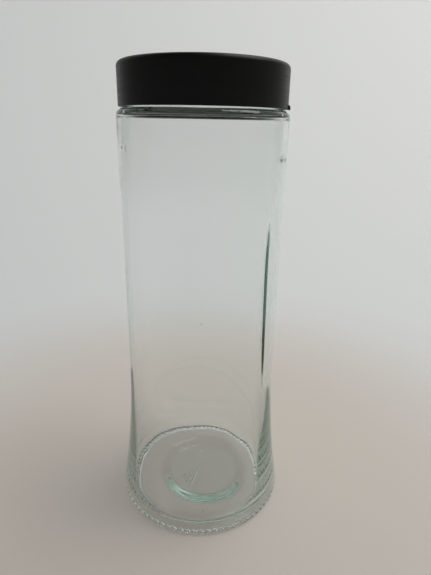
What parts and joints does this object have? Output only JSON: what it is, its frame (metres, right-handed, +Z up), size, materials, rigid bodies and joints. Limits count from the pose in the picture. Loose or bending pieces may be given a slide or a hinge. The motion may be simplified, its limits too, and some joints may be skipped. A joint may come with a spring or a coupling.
{
  "type": "lidded glass canister",
  "caption": "Tall clear glass storage jar with a flared foot and a smooth black screw lid over a sealing disc, for pasta and other dry food.",
  "frame": {"origin": "centre of the circle that the jar stands on, at the height of the surface under it", "axes": "+Z up along the jar's axis, from the foot to the lid; X and Y level, the jar being round"},
  "size_m": [0.115, 0.115, 0.288],
  "materials": {
    "glass": "clear soda-lime container glass, fire polished",
    "lid": "black polypropylene, fine matte moulded surface",
    "liner": "off-white foamed polyethylene disc, satin skin"
  },
  "bodies": {
    "jar": {"glass_jar": "glass"},
    "liner": {"lid_liner": "liner"},
    "lid": {"screw_lid": "lid"}
  },
  "joints": [
    {"name": "lid_lift", "type": "slide", "parent": "jar", "child": "liner", "axis": [0, 0, 1], "range_m": [0, 0.15]},
    {"name": "lid_turn", "type": "hinge", "parent": "liner", "child": "lid", "pos_m": [0, 0, 0.2856], "axis": [0, 0, 1], "range_deg": [0, 405]}
  ]
}
